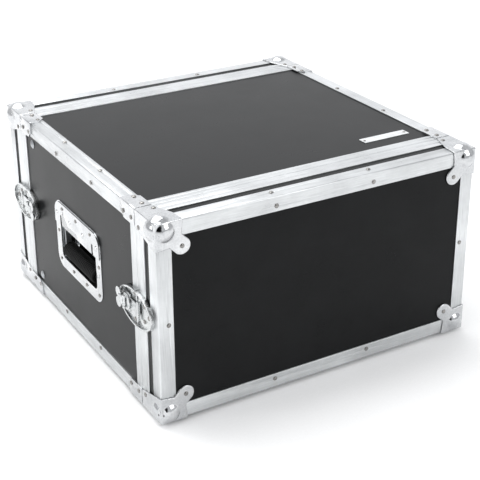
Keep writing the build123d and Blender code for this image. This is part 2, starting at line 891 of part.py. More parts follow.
def edging(plane, half_length):
    """An angle along a lid's outer edge. The plane's x and y run in along its two flanges."""
    with BuildSketch(plane) as angle:
        Rectangle(edge_flange, edge_flange, align=Align.MIN)
        fillet(vertices().sort_by_distance((0, 0))[0], edge_radius)
        with Locations((skin, skin)):
            Rectangle(edge_flange, edge_flange, align=Align.MIN, mode=Mode.SUBTRACT)
    extrude(angle.sketch, amount=half_length, both=True)


with BuildPart() as lid_edging:
    edging(
        Plane(origin=(0, front, base), x_dir=(0, 1, 0), z_dir=(1, 0, 0)),
        half_width - edging_stop,
    )
    mirror(about=mid_plane)
    edging(
        Plane(origin=(-half_width, front, middle), x_dir=(1, 0, 0), z_dir=(0, 0, 1)),
        case_height / 2 - edge_flange - joint_line,
    )
    mirror(lid_edging.part.solids().filter_by(lambda s: s.center().X < -half_width / 2), Plane.YZ)
    drill(lid_rivets_all)
save_lid_piece(lid_edging, "edging")

# ---- ball corner, drawn at the front lid's bottom left corner
vertex = Vector(-half_width, front, base)
ball_centre = vertex + Vector(ball_inset, ball_inset, ball_inset)
cut_step = vertex_cut / 3**0.5
pocket_size = 2 * lid_depth
lap = lid_depth - seam_gap

with BuildPart() as pocket:
    with BuildSketch(Plane(origin=vertex)):
        Rectangle(pocket_size, pocket_size, align=Align.MIN)
    extrude(amount=pocket_size)
    corner_cut = Plane(origin=vertex + Vector(cut_step, cut_step, cut_step), z_dir=(1, 1, 1))
    split(bisect_by=corner_cut, keep=Keep.TOP)

with BuildPart() as ball_corner:
    with BuildSketch(Plane(origin=vertex)):
        with BuildLine():
            Polyline(
                (-plate, -plate),
                (corner_leg, -plate),
                (corner_tip, edge_flange),
                (lap_width, lap),
                (-plate, lap),
                close=True,
            )
        make_face()
    extrude(amount=-plate)
    with BuildSketch(Plane(origin=vertex, x_dir=(0, 1, 0), z_dir=(1, 0, 0))):
        with BuildLine():
            Polyline(
                (-plate, -plate),
                (lap, -plate),
                (lap, lap_width),
                (edge_flange, corner_tip - 3),
                (-plate, corner_leg),
                close=True,
            )
        make_face()
    extrude(amount=-plate)
    front_plane = Plane(origin=vertex, x_dir=(1, 0, 0), z_dir=(0, -1, 0))
    with BuildSketch(front_plane) as front_plate:
        with BuildLine():
            Polyline(
                (-plate, -plate),
                (corner_leg, -plate),
                (corner_tip, lobe_neck),
                (lobe_place + lobe_radius * 0.8, lobe_place - lobe_radius * 0.6),
                (lobe_place - lobe_radius * 0.6, lobe_place + lobe_radius * 0.8),
                (lobe_neck, corner_tip),
                (-plate, corner_leg),
                close=True,
            )
        make_face()
        with Locations((lobe_place, lobe_place)):
            Circle(lobe_radius)
    extrude(amount=plate)
    with Locations(ball_centre):
        Sphere(ball_radius)
    add(pocket.part, mode=Mode.SUBTRACT)
    with Locations(ball_centre):
        Sphere(ball_radius - plate, mode=Mode.SUBTRACT)
    with Locations(vertex - Vector(ball_proud, ball_proud, ball_proud)):
        Box(2 * pocket_size, 2 * pocket_size, 2 * pocket_size, align=Align.MIN, mode=Mode.INTERSECT)
    with BuildSketch(front_plane):
        with Locations((lobe_place, lobe_place)):
            Circle(lobe_radius)
    extrude(amount=-skin)
    drill(corner_rivet_places)

with BuildPart() as ball_corners:
    add(ball_corner.part)
    mirror(about=Plane.YZ)
    mirror(about=mid_plane)
save_lid_piece(ball_corners, "ball_corners")

with BuildPart() as keepers:
    add(keeper.part)
    mirror(about=Plane.YZ)
save_lid_piece(keepers, "keepers")

with BuildPart() as lid_rivets:
    with Locations(*(lid_rivets_all + keeper_rivets_all)):
        add(rivet.part)
save_lid_piece(lid_rivets, "rivets")
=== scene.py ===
"""Looks of a six-unit rack flight case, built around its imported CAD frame."""

import logging
import math
from dataclasses import dataclass, field, replace
from enum import Enum

import bmesh
import bpy
from mathutils import Matrix, Vector


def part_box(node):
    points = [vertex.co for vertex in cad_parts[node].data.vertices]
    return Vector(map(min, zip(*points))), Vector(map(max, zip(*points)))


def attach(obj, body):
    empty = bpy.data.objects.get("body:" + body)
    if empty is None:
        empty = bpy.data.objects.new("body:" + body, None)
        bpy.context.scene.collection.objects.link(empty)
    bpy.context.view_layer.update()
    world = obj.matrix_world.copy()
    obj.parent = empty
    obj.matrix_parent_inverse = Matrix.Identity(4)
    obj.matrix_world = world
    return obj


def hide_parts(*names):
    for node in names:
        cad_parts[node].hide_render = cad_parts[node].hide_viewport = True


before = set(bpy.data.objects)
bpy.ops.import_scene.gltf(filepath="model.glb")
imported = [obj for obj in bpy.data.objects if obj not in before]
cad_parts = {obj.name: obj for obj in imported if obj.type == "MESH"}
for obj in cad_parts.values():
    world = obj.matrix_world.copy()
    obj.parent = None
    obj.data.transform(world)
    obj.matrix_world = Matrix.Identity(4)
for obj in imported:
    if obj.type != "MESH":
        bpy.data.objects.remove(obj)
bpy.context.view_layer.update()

log = logging.getLogger("rack_case")
MM = 0.001
WELD_M = 2e-6
FLAT_DEG = 0.6


class End(Enum):
    """An end of the case, each closed by a lid."""

    FRONT = "front"
    REAR = "rear"

    @property
    def lid(self) -> str:
        """Name of this end's lid, which is also its body's."""
        return f"{self.value}_lid"


class Side(Enum):
    """A side of the case, each with a handle and two latches."""

    LEFT = "left"
    RIGHT = "right"


class Slot(Enum):
    """The record's material slots, named in the calls that make the finished pieces."""

    PROFILE = "aluminium_profile"
    BRIGHT_STEEL = "chromed_steel"
    ZINC_STEEL = "zinc_steel"
    RIVET_STEEL = "rivet_steel"
    GRIP_RUBBER = "grip_rubber"
    NAME_PLATE = "name_plate"


class Along(Enum):
    """The axis that an extrusion's or a brush's lines run along, as a pattern's stretch on X, Y and Z."""

    X = (0.02, 1.0, 1.0)
    Y = (1.0, 0.02, 1.0)
    Z = (1.0, 1.0, 0.02)
    ALL = (1.0, 1.0, 1.0)


def linear(code: str) -> tuple[float, float, float, float]:
    """Turns an sRGB hex colour to linear light.

    Args:
        code: the colour, such as "#3a3b3d".

    Returns:
        Linear red, green, blue and an alpha of 1.
    """
    parts = [int(code[i : i + 2], 16) / 255 for i in (1, 3, 5)]
    light = [c / 12.92 if c <= 0.04045 else ((c + 0.055) / 1.055) ** 2.4 for c in parts]
    return (light[0], light[1], light[2], 1.0)


def put(tree: bpy.types.NodeTree, kind: str, settings: dict | None = None,
        inputs: dict | None = None) -> bpy.types.Node:
    """Adds a node with its settings, values and links.

    Args:
        tree: the tree that the node joins.
        kind: the node's Blender type.
        settings: properties of the node itself.
        inputs: a value or an output socket for each named or numbered input.

    Returns:
        The new node.
    """
    node = tree.nodes.new(kind)
    for name, value in (settings or {}).items():
        setattr(node, name, value)
    for name, value in (inputs or {}).items():
        if isinstance(value, bpy.types.NodeSocket):
            tree.links.new(value, node.inputs[name])
        else:
            node.inputs[name].default_value = value
    return node


def ramp(tree: bpy.types.NodeTree, source: bpy.types.NodeSocket,
         stops: list[tuple[float, tuple]]) -> bpy.types.NodeSocket:
    """Adds a colour ramp.

    Args:
        tree: the tree that the ramp joins.
        source: the socket it reads.
        stops: place and linear colour of each stop.

    Returns:
        The ramp's colour output.
    """
    node = put(tree, "ShaderNodeValToRGB", inputs={0: source})
    bar = node.color_ramp.elements
    while len(bar) < len(stops):
        bar.new(0.5)
    for stop, (place, colour) in zip(bar, stops):
        stop.position = place
        stop.color = colour
    return node.outputs["Color"]


@dataclass(frozen=True)
class Finish:
    """A finish with an uneven colour, an uneven gloss and a fine relief.

    The grain is the relief's own size and a patch is the size of a stain or a worn place, both in
    millimetres. The grain's lines run along one axis or none.
    """

    name: str
    dark: str
    light: str
    metallic: float
    rough: tuple[float, float]
    grain_mm: float
    patch_mm: float
    relief: float
    depth_mm: float = 0.1
    along: Along = Along.ALL
    specular: float = 0.5
    grain_share: float = 0.45
    colour_stops: tuple[float, float] = (0.35, 0.65)
    gloss_stops: tuple[float, float] = (0.3, 0.7)

    def build(self) -> bpy.types.Material:
        """Makes the material.

        Returns:
            A node material on Object coordinates.
        """
        made = bpy.data.materials.new(self.name)
        made.use_nodes = True
        tree = made.node_tree
        tree.nodes.clear()
        place = put(tree, "ShaderNodeTexCoord").outputs["Object"]
        stretched = put(tree, "ShaderNodeMapping", inputs={"Vector": place, "Scale": self.along.value})
        grain = put(tree, "ShaderNodeTexNoise", inputs={
            "Vector": stretched.outputs[0], "Scale": 1 / (self.grain_mm * MM), "Detail": 3.0})
        patch = put(tree, "ShaderNodeTexNoise", inputs={
            "Vector": place, "Scale": 1 / (self.patch_mm * MM), "Detail": 5.0, "Roughness": 0.6})
        mixed = put(tree, "ShaderNodeMix", {"data_type": "FLOAT"}, {
            0: self.grain_share, 2: patch.outputs["Fac"], 3: grain.outputs["Fac"]})
        colour = ramp(tree, mixed.outputs[0], list(zip(
            self.colour_stops, (linear(self.dark), linear(self.light)))))
        gloss = put(tree, "ShaderNodeMapRange", inputs={
            "Value": mixed.outputs[0], "From Min": self.gloss_stops[0], "From Max": self.gloss_stops[1],
            "To Min": self.rough[0], "To Max": self.rough[1]})
        relief = put(tree, "ShaderNodeBump", inputs={
            "Height": grain.outputs["Fac"], "Strength": self.relief, "Distance": self.depth_mm * MM})
        shader = put(tree, "ShaderNodeBsdfPrincipled", inputs={
            "Base Color": colour, "Roughness": gloss.outputs[0], "Metallic": self.metallic,
            "Specular IOR Level": self.specular, "Normal": relief.outputs[0]})
        put(tree, "ShaderNodeOutputMaterial", inputs={"Surface": shader.outputs[0]})
        return made


# Phenolic laminate pressed onto birch plywood: near black, with a fine pebble that spreads the light
# to a soft grey sheen. The pebble is about 0.4 mm across and is drawn at 1.3 mm, so that it shows.
LAMINATE = Finish("phenolic_laminate", "#0a0b0c", "#131415", 0.0, (0.26, 0.36),
                  grain_mm=1.3, patch_mm=60, relief=0.3, depth_mm=0.05, specular=0.12)
# Extruded aluminium, satin anodised: pale and even, with faint die lines along the whole length of each
# bar. Die lines stand 0.1 mm apart and are drawn 0.7 mm apart, so that they show.
ANODISED_X = Finish("anodised_aluminium_x", "#b9bbbc", "#dcdedf", 1.0, (0.26, 0.38),
                    grain_mm=0.7, patch_mm=70, relief=0.2, depth_mm=0.03, along=Along.X)
ANODISED_Y = replace(ANODISED_X, name="anodised_aluminium_y", along=Along.Y)
ANODISED_Z = replace(ANODISED_X, name="anodised_aluminium_z", along=Along.Z)
# Deep-drawn steel, nickel and chrome plated: mirror bright, with the faint haze of handling.
CHROME = Finish("chromed_pressed_steel", "#b4b6b8", "#d6d7d8", 1.0, (0.08, 0.18),
                grain_mm=2.5, patch_mm=35, relief=0.05, depth_mm=0.04)
# Die-cast and pressed latch pieces, nickel plated and barrel polished: bright, with softened reflections.
NICKEL = Finish("nickel_plated_latch", "#b3b5b6", "#d9dbdb", 1.0, (0.2, 0.32),
                grain_mm=1.2, patch_mm=12, relief=0.1, depth_mm=0.04)
# Rolled steel, bright zinc plated: softer and a little bluer than chrome.
ZINC = Finish("zinc_plated_steel", "#8e9195", "#b4b7b9", 1.0, (0.25, 0.42),
              grain_mm=0.9, patch_mm=18, relief=0.2, depth_mm=0.05)
# Cold-headed steel rivets, nickel plated and dulled by the setting tool: darker than the bars they hold.
RIVET = Finish("nickel_plated_rivet", "#6c6b69", "#a5a3a0", 1.0, (0.16, 0.34),
               grain_mm=0.8, patch_mm=8, relief=0.15, depth_mm=0.05)
# Moulded natural rubber: near black, matt, with a bloom of dust.
RUBBER = Finish("moulded_rubber", "#060606", "#0f0f0f", 0.0, (0.5, 0.7),
                grain_mm=0.8, patch_mm=20, relief=0.35, depth_mm=0.06, specular=0.2)
# Thin aluminium sheet, brushed along its length and lacquered, left blank: the palest metal on the case.
LACQUER = Finish("brushed_name_plate", "#d4d6d7", "#f1f2f3", 1.0, (0.28, 0.4),
                 grain_mm=0.5, patch_mm=12, relief=0.15, depth_mm=0.03, along=Along.X)
# Matt paint on a studio floor: an even white.
FLOOR_PAINT = Finish("painted_floor", "#fafafa", "#ffffff", 0.0, (0.6, 0.7),
                     grain_mm=4, patch_mm=400, relief=0.02)


def plain_mesh(thing: bpy.types.Object, smooth_angle: float = 32.0) -> bpy.types.Object:
    """Turns an object with modifiers to a plain mesh and shades it.

    Args:
        thing: the object, whose modifiers are evaluated and removed.
        smooth_angle: degrees above which an edge stays sharp.

    Returns:
        The same object, with its finished mesh.
    """
    graph = bpy.context.evaluated_depsgraph_get()
    done = bpy.data.meshes.new_from_object(thing.evaluated_get(graph))
    thing.modifiers.clear()
    thing.data = done
    for face in done.polygons:
        face.use_smooth = True
    done.set_sharp_from_angle(angle=math.radians(smooth_angle))
    return thing


def link(name: str, mesh: bpy.types.Mesh) -> bpy.types.Object:
    """Puts a mesh in the scene as an object at the origin.

    Args:
        name: the object's name.
        mesh: the mesh, with its place in it.

    Returns:
        The new object.
    """
    thing = bpy.data.objects.new(name, mesh)
    bpy.context.scene.collection.objects.link(thing)
    return thing


def merged_copy(node: str) -> bpy.types.Mesh:
    """Copies a CAD node's mesh and joins its loose triangles.

    Args:
        node: the CAD node.

    Returns:
        A closed mesh with its flat faces made whole.
    """
    copy = bmesh.new()
    copy.from_mesh(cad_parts[node].data)
    bmesh.ops.remove_doubles(copy, verts=copy.verts, dist=WELD_M)
    bmesh.ops.dissolve_limit(copy, angle_limit=math.radians(FLAT_DEG), verts=copy.verts, edges=copy.edges)
    mesh = bpy.data.meshes.new(node + "_softened")
    copy.to_mesh(mesh)
    copy.free()
    mesh.materials.clear()
    return mesh


@dataclass
class Softener:
    """Rounds the edges of pressed, drawn, cast or moulded pieces, as their making leaves them."""

    radius_mm: float = 0.4
    segments: int = 3
    least_angle: float = 28.0

    def soften(self, node: str, body: str, slot: Slot, finish: bpy.types.Material) -> bpy.types.Object:
        """Makes a rounded piece that stands for a CAD node.

        Args:
            node: the CAD node.
            body: the body that it rides on.
            slot: the record's material slot; not used.
            finish: its material.

        Returns:
            The finished piece.
        """
        piece = link(node + "_soft", merged_copy(node))
        piece.data.materials.append(finish)
        edge = piece.modifiers.new("rounded_edges", "BEVEL")
        edge.width = self.radius_mm * MM
        edge.segments = self.segments
        edge.limit_method = "ANGLE"
        edge.angle_limit = math.radians(self.least_angle)
        edge.use_clamp_overlap = True
        plain_mesh(piece)
        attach(piece, body)
        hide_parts(node)
        log.info("softened %s: %d faces", node, len(piece.data.polygons))
        return piece


def dress(node: str, finish: bpy.types.Material) -> None:
    """Gives a CAD node its finish.

    Args:
        node: the CAD node.
        finish: its material.
    """
    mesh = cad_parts[node].data
    mesh.materials.clear()
    mesh.materials.append(finish)
    log.info("dressed %s", node)


def node_tree(name: str, inputs: list[tuple[str, str, float | tuple | None]]
              ) -> tuple[bpy.types.NodeTree, bpy.types.Node, bpy.types.Node]:
    """Starts a Geometry Nodes tree with named inputs.

    Args:
        name: the tree's name.
        inputs: name, socket type and default of each size.

    Returns:
        The tree, its group input node and its group output node.
    """
    tree = bpy.data.node_groups.new(name, "GeometryNodeTree")
    tree.interface.new_socket("Geometry", in_out="INPUT", socket_type="NodeSocketGeometry")
    for label, kind, value in inputs:
        socket = tree.interface.new_socket(label, in_out="INPUT", socket_type=kind)
        if value is not None:
            socket.default_value = value
    tree.interface.new_socket("Geometry", in_out="OUTPUT", socket_type="NodeSocketGeometry")
    return tree, put(tree, "NodeGroupInput"), put(tree, "NodeGroupOutput")


def grow(thing: bpy.types.Object, tree: bpy.types.NodeTree, sizes: dict[str, object],
         smooth_angle: float = 50.0) -> bpy.types.Object:
    """Runs a Geometry Nodes tree on an object and keeps the result as a plain mesh.

    Args:
        thing: the object that carries the points.
        tree: the tree.
        sizes: value of each named input.
        smooth_angle: degrees above which an edge of the result stays sharp.

    Returns:
        The same object with its grown mesh.
    """
    grower = thing.modifiers.new("grow", "NODES")
    grower.node_group = tree
    for item in tree.interface.items_tree:
        if item.in_out == "INPUT" and item.name in sizes:
            grower[item.identifier] = sizes[item.name]
    return plain_mesh(thing, smooth_angle)


def close_tree(tree: bpy.types.NodeTree, out: bpy.types.Node, shape: bpy.types.NodeSocket,
               finish: bpy.types.NodeSocket) -> None:
    """Ends a Geometry Nodes tree: makes its instances real and gives them their finish.

    Args:
        tree: the tree.
        out: its group output node.
        shape: the geometry to end with.
        finish: the input that names the material.
    """
    real = put(tree, "GeometryNodeRealizeInstances", inputs={"Geometry": shape})
    dressed = put(tree, "GeometryNodeSetMaterial", inputs={"Geometry": real.outputs[0], "Material": finish})
    tree.links.new(dressed.outputs[0], out.inputs["Geometry"])


def rivet_tree() -> bpy.types.NodeTree:
    """Builds the tree that sets a domed rivet head on every point.

    Returns:
        A tree with inputs Head Radius, Dome Height and Finish.
    """
    tree, given, out = node_tree("rivet_heads", [
        ("Head Radius", "NodeSocketFloat", 0.0033), ("Dome Height", "NodeSocketFloat", 0.0014),
        ("Finish", "NodeSocketMaterial", None)])
    sizes = given.outputs
    dome = put(tree, "GeometryNodeMeshUVSphere", inputs={
        "Segments": 24, "Rings": 14, "Radius": sizes["Head Radius"]})
    flat = put(tree, "ShaderNodeMath", {"operation": "DIVIDE"}, {
        0: sizes["Dome Height"], 1: sizes["Head Radius"]})
    squash = put(tree, "ShaderNodeCombineXYZ", inputs={"X": 1.0, "Y": 1.0, "Z": flat.outputs[0]})
    head = put(tree, "GeometryNodeTransform", inputs={
        "Geometry": dome.outputs["Mesh"], "Scale": squash.outputs[0]})
    way = put(tree, "GeometryNodeInputNamedAttribute", {"data_type": "FLOAT_VECTOR"}, {"Name": "way"})
    turn = put(tree, "FunctionNodeAlignRotationToVector", {"axis": "Z"}, {"Vector": way.outputs[0]})
    heads = put(tree, "GeometryNodeInstanceOnPoints", inputs={
        "Points": sizes["Geometry"], "Instance": head.outputs[0], "Rotation": turn.outputs[0]})
    close_tree(tree, out, heads.outputs[0], sizes["Finish"])
    return tree


@dataclass
class Rivets:
    """Domed rivet heads, set on the places that the frame gives."""

    finish: bpy.types.Material
    tree: bpy.types.NodeTree = field(default_factory=rivet_tree)
    rim_share: float = 0.97

    @staticmethod
    def solids(node: str) -> list[list[Vector]]:
        """Sorts a CAD node's points by the solid that they belong to.

        Args:
            node: the CAD node.

        Returns:
            The points of each solid.
        """
        copy = bmesh.new()
        copy.from_mesh(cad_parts[node].data)
        bmesh.ops.remove_doubles(copy, verts=copy.verts, dist=WELD_M)
        groups, seen = [], set()
        for start in copy.verts:
            if start in seen:
                continue
            group, todo = [], [start]
            seen.add(start)
            while todo:
                vert = todo.pop()
                group.append(vert.co.copy())
                for edge in vert.link_edges:
                    other = edge.other_vert(vert)
                    if other not in seen:
                        seen.add(other)
                        todo.append(other)
            groups.append(group)
        copy.free()
        return groups

    def seat(self, group: list[Vector]) -> tuple[Vector, Vector, float, float]:
        """Finds where one rivet's head sits, from the rivet's points.

        Args:
            group: the points of a rivet that lies along X, Y or Z.

        Returns:
            Seat, outward direction, head radius and dome height.
        """
        low = Vector([min(p[i] for p in group) for i in range(3)])
        high = Vector([max(p[i] for p in group) for i in range(3)])
        size, middle = high - low, (low + high) / 2
        others = [abs(size[i] - size[(i + 1) % 3]) for i in range(3)]
        axis = (others.index(min(others)) + 2) % 3
        radius = size[(axis + 1) % 3] / 2
        rims = []
        for point in group:
            gap = point - middle
            gap[axis] = 0
            if gap.length > self.rim_share * radius:
                rims.append(point[axis])
        sign = 1 if sum(rims) / len(rims) > middle[axis] else -1
        spot, way = middle.copy(), Vector((0, 0, 0))
        spot[axis] = min(rims) if sign > 0 else max(rims)
        tip = high[axis] if sign > 0 else low[axis]
        way[axis] = sign
        return spot, way, radius, abs(tip - spot[axis])

    def set_heads(self, node: str, body: str) -> None:
        """Sets the heads of one CAD node, in groups of one size.

        Args:
            node: the CAD node that the heads stand for.
            body: the body that they ride on.
        """
        sizes: dict[tuple, list] = {}
        for spot, way, radius, height in map(self.seat, self.solids(node)):
            sizes.setdefault((round(radius, 4), round(height, 4)), []).append((spot, way))
        for number, ((radius, height), spots) in enumerate(sizes.items()):
            mesh = bpy.data.meshes.new(f"{node}_heads_{number}")
            mesh.from_pydata([tuple(s) for s, _ in spots], [], [])
            ways = mesh.attributes.new("way", "FLOAT_VECTOR", "POINT")
            for item, (_, way) in zip(ways.data, spots):
                item.vector = way
            heads = link(f"{node}_heads_{number}", mesh)
            grow(heads, self.tree, {
                "Head Radius": radius, "Dome Height": height, "Finish": self.finish})
            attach(heads, body)
            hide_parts(node)
            log.info("%s: %d heads of radius %.1f mm", node, len(spots), radius / MM)


def rib_tree() -> bpy.types.NodeTree:
    """Builds the tree that strings rubber ribs along a handle's grip.

    Returns:
        A tree with inputs Start, End, Count, Rib Radius, Rib Width and Finish.
    """
    tree, given, out = node_tree("grip_ribs", [
        ("Start", "NodeSocketVector", (0, 0, 0)), ("End", "NodeSocketVector", (0, 0.1, 0)),
        ("Count", "NodeSocketInt", 22), ("Rib Radius", "NodeSocketFloat", 0.0115),
        ("Rib Width", "NodeSocketFloat", 0.0016), ("Finish", "NodeSocketMaterial", None)])
    sizes = given.outputs
    line = put(tree, "GeometryNodeCurvePrimitiveLine", inputs={"Start": sizes["Start"], "End": sizes["End"]})
    points = put(tree, "GeometryNodeCurveToPoints", {"mode": "COUNT"}, {
        "Curve": line.outputs[0], "Count": sizes["Count"]})
    middle = put(tree, "ShaderNodeMath", {"operation": "SUBTRACT"}, {
        0: sizes["Rib Radius"], 1: sizes["Rib Width"]})
    hoop = put(tree, "GeometryNodeCurvePrimitiveCircle", inputs={
        "Resolution": 40, "Radius": middle.outputs[0]})
    round_bar = put(tree, "GeometryNodeCurvePrimitiveCircle", inputs={
        "Resolution": 10, "Radius": sizes["Rib Width"]})
    rib = put(tree, "GeometryNodeCurveToMesh", inputs={
        "Curve": hoop.outputs[0], "Profile Curve": round_bar.outputs[0]})
    ribs = put(tree, "GeometryNodeInstanceOnPoints", inputs={
        "Points": points.outputs["Points"], "Instance": rib.outputs[0],
        "Rotation": points.outputs["Rotation"]})
    core = put(tree, "GeometryNodeCurvePrimitiveCircle", inputs={
        "Resolution": 40, "Radius": middle.outputs[0]})
    tube = put(tree, "GeometryNodeCurveToMesh", inputs={
        "Curve": line.outputs[0], "Profile Curve": core.outputs[0], "Fill Caps": True})
    both = put(tree, "GeometryNodeJoinGeometry")
    tree.links.new(ribs.outputs[0], both.inputs[0])
    tree.links.new(tube.outputs[0], both.inputs[0])
    close_tree(tree, out, both.outputs[0], sizes["Finish"])
    return tree


@dataclass
class Handles:
    """The two recessed handles: drawn dishes, hinge plates, sprung bails and ribbed grips."""

    rib_pitch_mm: float = 4.6
    rib_width_mm: float = 2.1
    softener: Softener = field(default_factory=lambda: Softener(0.45, 3))

    def build(self, finishes: dict[str, bpy.types.Material]) -> None:
        """Builds both handles.

        Args:
            finishes: the case's materials by short name.
        """
        ribs = rib_tree()
        for side in Side:
            for name in ("handle_dish", "handle_hinge_plate"):
                self.softener.soften(
                    f"{name}_{side.value}", "case_body", Slot.BRIGHT_STEEL, finishes["chrome"])
            dress(f"handle_pin_{side.value}", finishes["zinc"])
            dress(f"handle_springs_{side.value}", finishes["zinc"])
            self.softener.soften(
                f"handle_bail_{side.value}", f"handle_{side.value}", Slot.ZINC_STEEL, finishes["zinc"])
            self.grip(side, ribs, finishes["rubber"])

    def grip(self, side: Side, ribs: bpy.types.NodeTree, finish: bpy.types.Material) -> None:
        """Makes one handle's ribbed grip.

        Args:
            side: the handle's side of the case.
            ribs: the ribs' node tree.
            finish: the grip's material.
        """
        low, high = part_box(f"handle_grip_{side.value}")
        middle = (low + high) / 2
        radius = (high.z - low.z) / 2
        rib = self.rib_width_mm * MM
        start = Vector((middle.x, low.y + rib, middle.z))
        end = Vector((middle.x, high.y - rib, middle.z))
        count = int((end - start).length / (self.rib_pitch_mm * MM)) + 1
        seed = bpy.data.meshes.new(f"grip_ribs_{side.value}")
        seed.from_pydata([tuple(middle)], [], [])
        grip = link(f"ribbed_grip_{side.value}", seed)
        grow(grip, ribs, {"Start": start, "End": end, "Count": count, "Rib Radius": radius,
                          "Rib Width": rib, "Finish": finish})
        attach(grip, f"handle_{side.value}")
        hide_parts(f"handle_grip_{side.value}")
        log.info("grip %s: %d ribs", side.value, count)


def thumb_rib_tree() -> bpy.types.NodeTree:
    """Builds the tree that raises a short rounded bar on every point, for a thumb to push on.

    Returns:
        A tree with inputs Bar Radius, Bar Length and Finish.
    """
    tree, given, out = node_tree("thumb_ribs", [
        ("Bar Radius", "NodeSocketFloat", 0.001), ("Bar Length", "NodeSocketFloat", 0.012),
        ("Finish", "NodeSocketMaterial", None)])
    sizes = given.outputs
    bar = put(tree, "GeometryNodeMeshCylinder", inputs={
        "Vertices": 14, "Radius": sizes["Bar Radius"], "Depth": sizes["Bar Length"]})
    bars = put(tree, "GeometryNodeInstanceOnPoints", inputs={
        "Points": sizes["Geometry"], "Instance": bar.outputs["Mesh"]})
    close_tree(tree, out, bars.outputs[0], sizes["Finish"])
    return tree


@dataclass
class Latches:
    """The four butterfly latches, with their base plates and keepers."""

    softener: Softener = field(default_factory=lambda: Softener(0.35, 3))
    bar_radius_mm: float = 1.1
    bar_length_mm: float = 12.5
    bar_places_mm: tuple[float, ...] = (6.2, 9.2, 12.2, 15.2)
    pin_proud_mm: float = 0.5

    def thumb_bars(self, wing: str, tree: bpy.types.NodeTree, finish: bpy.types.Material) -> None:
        """Raises four bars on a wing's outer face.

        Args:
            wing: the wing's node and body.
            tree: the bars' node tree.
            finish: their material.
        """
        low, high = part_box(wing)
        outwards = -1 if low.x < 0 else 1
        away = 1 if low.y < 0 else -1
        face = (low.x if outwards < 0 else high.x) - outwards * self.pin_proud_mm * MM
        start = low.y if away > 0 else high.y
        level = (low.z + high.z) / 2
        spots = [(face, start + away * place * MM, level) for place in self.bar_places_mm]
        mesh = bpy.data.meshes.new(f"{wing}_bars")
        mesh.from_pydata(spots, [], [])
        bars = link(f"{wing}_bars", mesh)
        grow(bars, tree, {"Bar Radius": self.bar_radius_mm * MM, "Bar Length": self.bar_length_mm * MM,
                          "Finish": finish})
        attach(bars, wing)
        log.info("%s: %d thumb bars", wing, len(spots))

    def build(self, finishes: dict[str, bpy.types.Material]) -> None:
        """Softens and dresses every piece of the latches.

        Args:
            finishes: the case's materials by short name.
        """
        nickel = finishes["nickel"]
        bars = thumb_rib_tree()
        self.softener.soften("latch_bases", "case_body", Slot.BRIGHT_STEEL, nickel)
        for end in End:
            self.softener.soften(f"{end.lid}_keepers", end.lid, Slot.BRIGHT_STEEL, nickel)
            for side in Side:
                for piece in ("drum", "wing", "claw"):
                    name = f"latch_{piece}_{end.value}_{side.value}"
                    self.softener.soften(name, name, Slot.BRIGHT_STEEL, nickel)
                self.thumb_bars(f"latch_wing_{end.value}_{side.value}", bars, nickel)


@dataclass
class Body:
    """The case between its lids: boards, profiles, braces, rack rails and name plate."""

    softener: Softener = field(default_factory=lambda: Softener(0.4, 2))

    def build(self, finishes: dict[str, bpy.types.Material]) -> None:
        """Dresses the boards and rails and softens the profiles and braces.

        Args:
            finishes: the case's materials by short name.
        """
        for board in ("top", "bottom", "left", "right"):
            dress(f"{board}_panel", finishes["laminate"])
        for height in ("top", "bottom"):
            for side in Side:
                self.softener.soften(
                    f"edge_{height}_{side.value}", "case_body", Slot.PROFILE, finishes["alu_y"])
        for end in End:
            bars = self.softener.soften(f"{end.value}_rim", "case_body", Slot.PROFILE, finishes["alu_x"])
            upright_finish(bars, finishes["alu_z"])
            for side in Side:
                dress(f"rail_{end.value}_{side.value}", finishes["zinc"])
        dress("rail_bolts", finishes["zinc"])
        dress("rail_screws", finishes["zinc"])
        self.softener.soften("corner_braces", "case_body", Slot.BRIGHT_STEEL, finishes["chrome"])
        self.softener.soften("label_plate", "case_body", Slot.NAME_PLATE, finishes["lacquer"])


